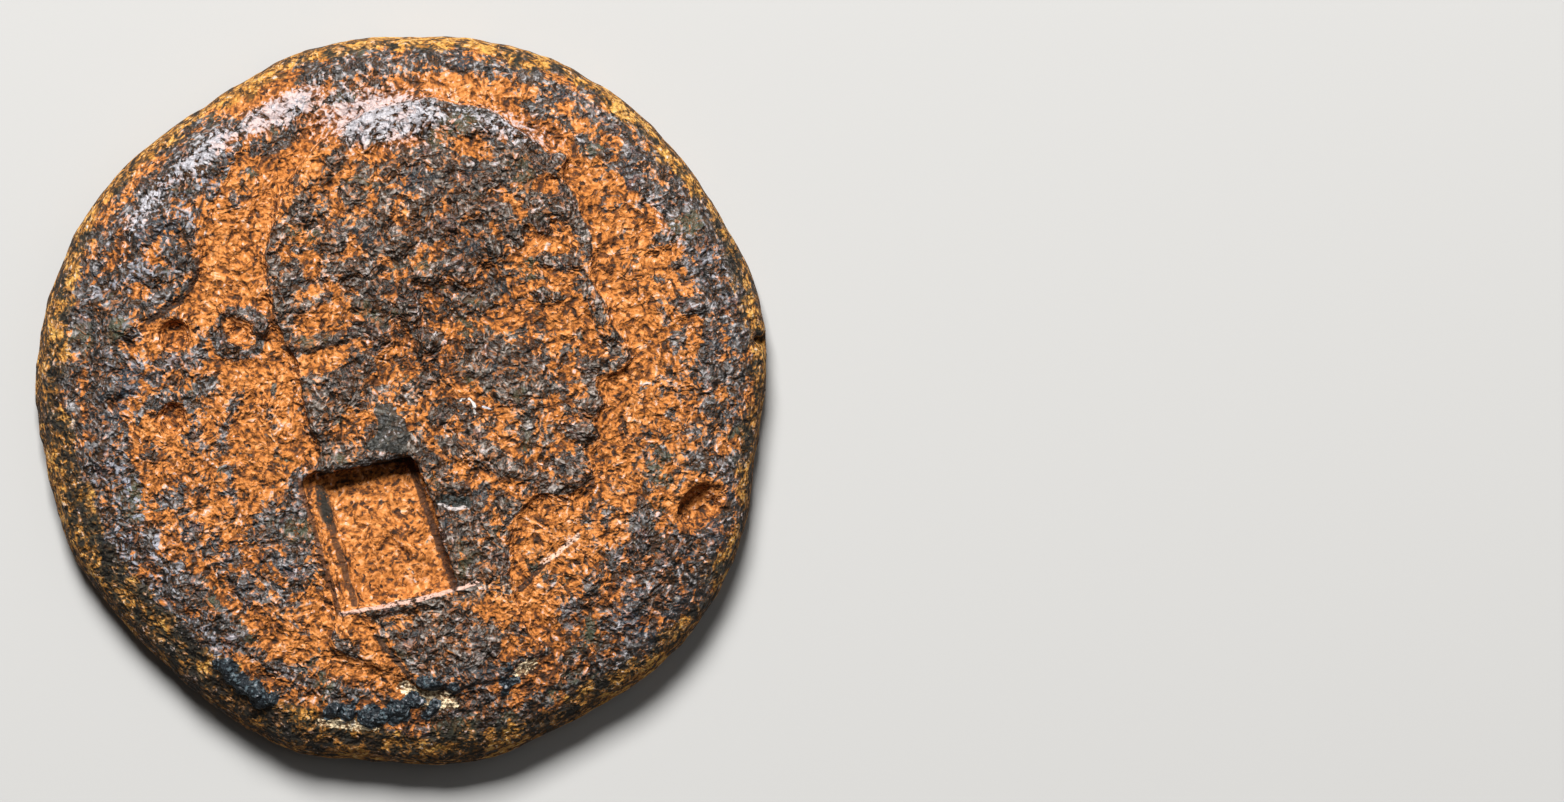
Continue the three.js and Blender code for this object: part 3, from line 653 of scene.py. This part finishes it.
bronzeLook = {
    # the dark skin, the orange earth and the edge's skin, each from its darkest strokes to its palest
    "skin": [
        (0.16, (0.005, 0.004, 0.003)),
        (0.36, (0.016, 0.012, 0.010)),
        (0.54, (0.042, 0.040, 0.038)),
        (0.76, (0.130, 0.119, 0.113)),
        (1.0, (0.25, 0.236, 0.234)),
    ],
    "earth": [
        (0.16, (0.024, 0.009, 0.003)),
        (0.36, (0.120, 0.036, 0.006)),
        (0.52, (0.33, 0.105, 0.016)),
        (0.70, (0.47, 0.172, 0.042)),
        (0.88, (0.57, 0.240, 0.085)),
        (1.0, (0.60, 0.31, 0.14)),
    ],
    "edge": [
        (0.12, (0.006, 0.005, 0.002)),
        (0.38, (0.030, 0.022, 0.007)),
        (0.54, (0.095, 0.045, 0.009)),
        (0.74, (0.30, 0.120, 0.016)),
        (1.0, (0.48, 0.27, 0.06)),
    ],
    # tints within the skin, with how strongly each covers it
    "blue": ((0.024, 0.036, 0.050), 0.5),
    "plum": ((0.14, 0.070, 0.062), 0.5),
    "green": ((0.070, 0.078, 0.044), 0.6),
    "umber": ((0.070, 0.030, 0.010), 0.6),
    "bloom": ((0.20, 0.21, 0.25), 0.8),
    "headBrown": ((1.0, 0.88, 0.74), 0.9),  # what the head's skin is multiplied by
    "rust": ((0.25, 0.090, 0.024), 0.6),
    # what lies on or wears through skin and earth, and the painted sheen
    "pool": [(0.008, 0.008, 0.006), (0.05, 0.046, 0.036)],
    "scale": [(0.20, 0.12, 0.06), (0.68, 0.54, 0.34)],
    "crust": [(0.004, 0.007, 0.010), (0.050, 0.070, 0.080)],
    # the painted sheen's pale colour, and how strongly it covers
    "polishAndSheen": ((0.40, 0.385, 0.41), 0.7),
    "pinhole": ((0.005, 0.004, 0.003), 0.8),
    "fleck": ((0.72, 0.52, 0.32), 0.25),
    "strokesPerMilli": 4.3,
    "strokeStretch": 0.32,  # a stroke's width as a share of its length
    "tuftsPerMilli": 2.2,  # patches in which the strokes run one way
    "skinContrast": 2.5,
    "earthContrast": 1.55,
    "edgeContrast": 1.9,
    "mixContrast": 3.2,  # how far the strokes break up the line between skin and earth
    "roughness": {"skin": 0.58, "earth": 0.3, "edge": 0.3, "strokes": 0.4, "polishAndSheen": -0.34},
    "specular": 0.3,
    "bumpMetres": 0.00019,
    "bumpHeld": {"smooth": -0.45, "pool": -0.5},  # the bump's change where the metal is smoother
}

# fine lines over the skin, several of them painted shadows and highlights along walls and steps: half width,
# colour and line
linesAndPaintedShade = [
    {
        "width": 0.06,
        "colour": (0.5, 0.47, 0.44),
        "line": [(2.3, 0.02), (2.6, 0.06), (2.8, -0.12), (2.78, -0.42)],
    },
    {"width": 0.05, "colour": (0.36, 0.37, 0.4), "line": [(3.1, -0.2), (3.4, -0.35)]},
    # the dent's dark middle and its pale lower lip: painted shade and a painted highlight
    {"width": 0.26, "colour": (0.012, 0.016, 0.014), "line": [(1.6, -3.68), (2.5, -3.74)]},
    {"width": 0.06, "colour": (0.42, 0.37, 0.35), "line": [(1.5, -3.8), (1.9, -3.98), (2.6, -3.95)]},
    # painted shade on the punch's outer left wall
    {"width": 0.12, "colour": (0.08, 0.03, 0.012), "line": [(-3.72, -2.95), (-2.2, -7.85)]},
    # painted shadow under the punch's top wall
    {"width": 0.1, "colour": (0.012, 0.008, 0.006), "line": [(-2.98, -2.72), (-2.2, -2.45), (-1.4, -2.3)]},
    {"width": 0.19, "colour": (0.006, 0.004, 0.003), "line": [(-1.4, -2.3), (-0.5, -2.16), (0.25, -2.1)]},
    # painted highlight along the punch's lower edge
    {
        "width": 0.09,
        "colour": (0.52, 0.32, 0.25),
        "line": [(-2.15, -7.9), (0.4, -7.42), (2.1, -6.98), (2.9, -6.7)],
    },
    # painted shade in the groove inside the punch's left wall
    {"width": 0.22, "colour": (0.008, 0.007, 0.005), "line": [(-2.98, -3.25), (-2.75, -4.0), (-2.5, -4.75)]},
    {"width": 0.3, "colour": (0.012, 0.012, 0.009), "line": [(-2.88, -3.6), (-2.68, -4.3)]},
    {"width": 0.16, "colour": (0.05, 0.02, 0.008), "line": [(-2.5, -4.8), (-2.05, -6.2), (-1.65, -7.5)]},
    # painted shadow on the punch's right wall
    {"width": 0.17, "colour": (0.03, 0.012, 0.006), "line": [(0.35, -2.2), (1.2, -4.6), (2.05, -6.9)]},
    {"width": 0.14, "colour": (0.012, 0.009, 0.008), "line": [(4.5, -7.0), (5.1, -6.3), (5.45, -5.95)]},
    {"width": 0.11, "colour": (0.58, 0.38, 0.28), "line": [(5.3, -6.0), (5.9, -5.6), (6.6, -5.0)]},
    # painted shadow along the foot of the border's step
    {
        "width": 0.16,
        "colour": (0.012, 0.01, 0.009),
        "line": [(-7.5, 5.2), (-7.6, 4.5), (-8.1, 3.7), (-9.3, 2.95)],
    },
    # painted shadow along the nape's step
    {"width": 0.13, "colour": (0.02, 0.012, 0.008), "line": [(-4.3, 1.95), (-3.3, 1.85), (-2.3, 2.2)]},
    {"width": 0.13, "colour": (0.02, 0.014, 0.01), "line": [(-0.85, -8.7), (0.5, -10.35)]},
]

bronze = bpy.data.materials.new("earthed_bronze")
bronze.use_nodes = True
tree = bronze.node_tree
tree.nodes.clear()


def addNode(kind, **settings):
    node = tree.nodes.new(kind)
    for name, value in settings.items():
        setattr(node, name, value)
    return node


# sets a socket to a plain value or colour, or links another socket to it
def feed(socket, value):
    if isinstance(value, (int, float)):
        socket.default_value = value
    elif isinstance(value, tuple):
        socket.default_value = value if len(socket.default_value) == len(value) else (*value, 1)
    else:
        tree.links.new(value, socket)


def mathNode(operation, first, second, clamp=False):
    node = addNode("ShaderNodeMath", operation=operation, use_clamp=clamp)
    feed(node.inputs[0], first)
    feed(node.inputs[1], second)
    return node.outputs[0]


def times(first, second):
    return mathNode("MULTIPLY", first, second)


def plus(*values):
    total = values[0]
    for value in values[1:]:
        total = mathNode("ADD", total, value)
    return total


def vectorNode(operation, first, second):
    node = addNode("ShaderNodeVectorMath", operation=operation)
    feed(node.inputs[0], first)
    feed(node.inputs[1], second)
    return node.outputs


def scaledVector(vector, factor):
    node = addNode("ShaderNodeVectorMath", operation="SCALE")
    feed(node.inputs[0], vector)
    feed(node.inputs["Scale"], factor)
    return node.outputs["Vector"]


def mixColour(factor, first, second, blend="MIX"):
    node = addNode("ShaderNodeMix", data_type="RGBA", blend_type=blend)
    feed(node.inputs[0], factor)
    feed(node.inputs[6], first)
    feed(node.inputs[7], second)
    return node.outputs[2]


# covers a colour with a look's own colour, by its own strength, where the mask is 1
def covered(colour, mask, look, blend="MIX"):
    over, strength = look
    return mixColour(times(mask, strength), colour, over, blend)


def noiseNode(where, perMilli, detail, roughness=0.55, distortion=0.0):
    node = addNode("ShaderNodeTexNoise", normalize=True)
    feed(node.inputs["Vector"], where)
    feed(node.inputs["Scale"], perMilli)
    feed(node.inputs["Detail"], detail)
    feed(node.inputs["Roughness"], roughness)
    feed(node.inputs["Distortion"], distortion)
    return node.outputs


def stepNode(value, low, high):
    node = addNode("ShaderNodeMapRange", interpolation_type="SMOOTHSTEP")
    feed(node.inputs["Value"], value)
    feed(node.inputs["From Min"], low)
    feed(node.inputs["From Max"], high)
    return node.outputs["Result"]


def attributeNode(name):
    return addNode("ShaderNodeAttribute", attribute_name=name).outputs["Fac"]


def rampNode(factor, tones):
    node = addNode("ShaderNodeValToRGB")
    ramp = node.color_ramp
    while len(ramp.elements) < len(tones):
        ramp.elements.new(0.5)
    for element, (place, colour) in zip(ramp.elements, tones):
        element.position = place
        element.color = (*colour, 1)
    feed(node.inputs["Fac"], factor)
    return node.outputs["Color"]


# 1 on a line of points seen from above, falling to 0 at its half width
def lineNode(flat, line, width):
    nearest = None
    for start, end in zip(line[:-1], line[1:]):
        run = (end[0] - start[0], end[1] - start[1], 0.0)
        off = vectorNode("SUBTRACT", flat, (*start, 0.0))["Vector"]
        along = vectorNode("DOT_PRODUCT", off, run)["Value"]
        along = mathNode("DIVIDE", along, run[0] ** 2 + run[1] ** 2, clamp=True)
        distance = vectorNode("DISTANCE", off, scaledVector(run, along))["Value"]
        nearest = distance if nearest is None else mathNode("MINIMUM", nearest, distance)
    return stepNode(nearest, width, 0.6 * width)


where = addNode("ShaderNodeTexCoord").outputs["Object"]
millimetres = scaledVector(where, 1 / milli)


# even noise round 0
def centredNoise(perMilli, detail, distortion=0.0):
    return mathNode("SUBTRACT", noiseNode(millimetres, perMilli, detail, 0.55, distortion)["Fac"], 0.5)


# short strokes that run one way in each small tuft and another way in the next
def strokesNode(finer, offset):
    moved = vectorNode("ADD", millimetres, (offset, offset * 0.7, offset * 1.3))["Vector"]
    ragged = noiseNode(moved, bronzeLook["tuftsPerMilli"] * 1.3, 1)["Color"]
    tufts = addNode("ShaderNodeTexVoronoi")
    feed(tufts.inputs["Vector"], vectorNode("ADD", moved, ragged)["Vector"])
    feed(tufts.inputs["Scale"], bronzeLook["tuftsPerMilli"] * finer)
    parts = addNode("ShaderNodeSeparateColor")
    feed(parts.inputs["Color"], tufts.outputs["Color"])
    turned = addNode("ShaderNodeVectorRotate", rotation_type="Z_AXIS")
    feed(turned.inputs["Vector"], moved)
    feed(turned.inputs["Angle"], times(parts.outputs["Red"], 2 * math.pi))
    stretch = (bronzeLook["strokeStretch"], 1, 1)
    stretched = vectorNode("MULTIPLY", turned.outputs["Vector"], stretch)["Vector"]
    made = noiseNode(stretched, bronzeLook["strokesPerMilli"] * finer, 1.5, 0.5, 0.35)["Fac"]
    return mathNode("SUBTRACT", made, 0.5)


strokes = strokesNode(1.0, 0.0)
otherStrokes = strokesNode(1.25, 31.0)
clumps = centredNoise(0.9, 3, 0.6)
dots = centredNoise(8.0, 1)
tint = centredNoise(0.55, 4)
otherTint = centredNoise(1.3, 3, 0.5)
pockets = centredNoise(1.5, 4, 0.8)
toneAndShadeHere = attributeNode("tone")
warmHere = attributeNode("warmth")
polishAndSheenHere = attributeNode("polishAndSheen")
grain = plus(strokes, times(otherStrokes, 0.5), times(dots, 0.3), times(clumps, 0.25))


# dark skin, with cool tints in its dull parts and brown and rust on the head
def skinColour():
    shade = plus(toneAndShadeHere, times(grain, bronzeLook["skinContrast"]))
    skin = rampNode(shade, bronzeLook["skin"])
    dull = mathNode("SUBTRACT", 1.0, stepNode(shade, 0.45, 0.8))
    skin = covered(skin, times(stepNode(tint, 0.06, 0.18), dull), bronzeLook["blue"])
    skin = covered(skin, stepNode(plus(otherTint, times(otherStrokes, 1.5)), 0.1, 0.3), bronzeLook["plum"])
    greenAt = plus(times(tint, -1.0), times(otherTint, 0.5))
    skin = covered(skin, stepNode(greenAt, 0.08, 0.2), bronzeLook["green"])
    umberAt = plus(otherStrokes, times(dots, 0.5))
    skin = covered(skin, stepNode(umberAt, -0.02, -0.14), bronzeLook["umber"])
    coolAt = stepNode(plus(times(otherTint, 0.6), times(strokes, 1.6)), 0.08, 0.24)
    skin = covered(skin, times(coolAt, attributeNode("bloom")), bronzeLook["bloom"])
    skin = covered(skin, warmHere, bronzeLook["headBrown"], "MULTIPLY")
    rustAt = plus(otherStrokes, times(pockets, 0.5), times(warmHere, 0.02))
    return covered(skin, stepNode(rustAt, 0.06, 0.15), bronzeLook["rust"])


def earthColour():
    return rampNode(plus(toneAndShadeHere, times(grain, bronzeLook["earthContrast"])), bronzeLook["earth"])


# olive, orange and dark grains
def edgeColour():
    edgeGrain = plus(strokes, times(otherStrokes, 0.6), times(pockets, 1.1), times(clumps, 0.9))
    return rampNode(plus(toneAndShadeHere, times(edgeGrain, bronzeLook["edgeContrast"])), bronzeLook["edge"])


# lines on the head side alone, painted shadows and highlights among them, each a little ragged
def withLinesAndPaintedShade(colour):
    drift = vectorNode("SUBTRACT", noiseNode(millimetres, 3.0, 1)["Color"], (0.5, 0.5, 0.5))["Vector"]
    drift = vectorNode("MULTIPLY", drift, (0.18, 0.18, 0.0))["Vector"]
    moved = vectorNode("ADD", millimetres, drift)["Vector"]
    flat = vectorNode("MULTIPLY", moved, (1.0, 1.0, 0.0))["Vector"]
    apart = addNode("ShaderNodeSeparateXYZ")
    feed(apart.inputs[0], millimetres)
    above = times(stepNode(apart.outputs["Z"], 1.5, 2.0), stepNode(plus(strokes, dots), -0.24, -0.08))
    for fine in linesAndPaintedShade:
        here = times(lineNode(flat, fine["line"], fine["width"]), above)
        colour = covered(colour, here, (fine["colour"], 0.9))
    return colour


# skin and earth take turns in strokes, by how much earth a place holds
mixing = plus(times(otherStrokes, 0.6), times(strokes, 0.2), times(pockets, 0.75))
earthHere = plus(times(attributeNode("earth"), 1.45), times(mixing, bronzeLook["mixContrast"]))
earthHere = stepNode(earthHere, 0.56, 0.9)
colour = mixColour(earthHere, skinColour(), earthColour())

poolHere = stepNode(plus(attributeNode("pool"), times(strokes, 0.5)), 0.4, 0.6)
poolColour = mixColour(stepNode(strokes, -0.05, 0.2), *bronzeLook["pool"])
colour = mixColour(times(poolHere, 0.95), colour, poolColour)

edgeHere = stepNode(plus(attributeNode("edgeSkin"), times(plus(otherStrokes, clumps), 1.2)), 0.35, 0.7)
colour = mixColour(times(edgeHere, 0.85), colour, edgeColour())

scaleNear = attributeNode("scale")
scaleHere = stepNode(plus(scaleNear, times(plus(strokes, otherStrokes), 1.8)), 0.3, 0.5)
scaleHere = times(scaleHere, stepNode(scaleNear, 0.05, 0.25))
scaleColour = mixColour(stepNode(plus(otherStrokes, dots), -0.1, 0.12), *bronzeLook["scale"])
colour = mixColour(scaleHere, colour, scaleColour)

crustHere = stepNode(plus(attributeNode("crust"), times(plus(strokes, dots), 0.9)), 0.3, 0.45)
crustColour = mixColour(stepNode(plus(strokes, dots), 0.02, 0.2), *bronzeLook["crust"])
colour = mixColour(crustHere, colour, crustColour)

# rubbed smooth on the shoulder, with a painted sheen there: the pale colour stands for the light's highlight
paintedSheen = plus(polishAndSheenHere, times(plus(strokes, times(otherStrokes, 0.8)), 2.2))
colour = covered(colour, stepNode(paintedSheen, 0.35, 0.85), bronzeLook["polishAndSheen"])

# black pinholes in the calm floor of the punch, and here and there a pale grain
pinholes = times(stepNode(centredNoise(5.2, 0), 0.2, 0.28), attributeNode("calm"))
colour = covered(colour, pinholes, bronzeLook["pinhole"])
colour = covered(colour, stepNode(plus(dots, times(strokes, 0.5)), 0.27, 0.32), bronzeLook["fleck"])
colour = withLinesAndPaintedShade(colour)

rough = bronzeLook["roughness"]
roughness = plus(
    rough["skin"],
    times(earthHere, rough["earth"]),
    times(edgeHere, rough["edge"]),
    times(otherStrokes, rough["strokes"]),
    times(polishAndSheenHere, rough["polishAndSheen"]),
)

held = bronzeLook["bumpHeld"]
pebbles = centredNoise(2.1, 2, 0.3)
height = plus(strokes, times(otherStrokes, 0.7), times(pebbles, 2.4), times(dots, 0.25))
evenness = plus(1.0, times(attributeNode("smooth"), held["smooth"]), times(poolHere, held["pool"]))
bump = addNode("ShaderNodeBump")
feed(bump.inputs["Strength"], 1.0)
feed(bump.inputs["Distance"], bronzeLook["bumpMetres"])
feed(bump.inputs["Height"], times(height, evenness))

shader = addNode("ShaderNodeBsdfPrincipled")
shader.inputs["Specular IOR Level"].default_value = bronzeLook["specular"]
feed(shader.inputs["Base Color"], colour)
feed(shader.inputs["Roughness"], roughness)
feed(shader.inputs["Normal"], bump.outputs["Normal"])
output = addNode("ShaderNodeOutputMaterial")
feed(output.inputs["Surface"], shader.outputs["BSDF"])

coinMesh.materials.append(bronze)
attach(coin, "root")
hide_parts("coin")
print("patina and earth painted")


studio = {
    "floorMetres": 0.8,
    "floorColour": (0.34, 0.335, 0.325),
    "worldStrength": 0.05,
    "keyWatts": 5.5,
    "keySizeMetres": 0.15,
    "keyMetres": 0.45,
    "keyTowards": (-0.09, 0.62, 0.78),
    "fillWatts": 0.3,
    "fillSizeMetres": 0.4,
    "fillTowards": (0.8, 0.2, 0.9),
}

floorMesh = bpy.data.meshes.new("floor")
half = studio["floorMetres"] / 2
corners = [(-half, -half, 0), (half, -half, 0), (half, half, 0), (-half, half, 0)]
floorMesh.from_pydata(corners, [], [(0, 1, 2, 3)])
floor = bpy.data.objects.new("floor", floorMesh)
bpy.context.collection.objects.link(floor)
floorMaterial = bpy.data.materials.new("pale_floor")
floorMaterial.use_nodes = True
floorShader = floorMaterial.node_tree.nodes["Principled BSDF"]
floorShader.inputs["Base Color"].default_value = (*studio["floorColour"], 1)
floorShader.inputs["Roughness"].default_value = 0.9
floorMesh.materials.append(floorMaterial)

world = bpy.data.worlds.new("studio")
world.use_nodes = True
world.node_tree.nodes["Background"].inputs["Color"].default_value = (1, 1, 1, 1)
world.node_tree.nodes["Background"].inputs["Strength"].default_value = studio["worldStrength"]
bpy.context.scene.world = world


def addLight(name, watts, size, towards, distance):
    data = bpy.data.lights.new(name, "AREA")
    data.energy = watts
    data.size = size
    light = bpy.data.objects.new(name, data)
    bpy.context.collection.objects.link(light)
    direction = Vector(towards).normalized()
    light.location = direction * distance
    light.rotation_euler = direction.to_track_quat("Z", "Y").to_euler()


addLight("key", studio["keyWatts"], studio["keySizeMetres"], studio["keyTowards"], studio["keyMetres"])
addLight("fill", studio["fillWatts"], studio["fillSizeMetres"], studio["fillTowards"], studio["keyMetres"])

# looks straight down; the coin lies in the left half of the picture
shot = {"lens": 300, "widthMetres": 0.0582, "asideMetres": 0.01417}
cameraData = bpy.data.cameras.new("camera")
cameraData.lens = shot["lens"]
cameraData.clip_start = 0.01
camera = bpy.data.objects.new("camera", cameraData)
bpy.context.collection.objects.link(camera)
distance = shot["widthMetres"] * shot["lens"] / cameraData.sensor_width
camera.location = (shot["asideMetres"], 0, distance + blankForm["widestAt"] * milli)
bpy.context.scene.camera = camera
bpy.context.scene.view_settings.view_transform = "Standard"
print("studio set")
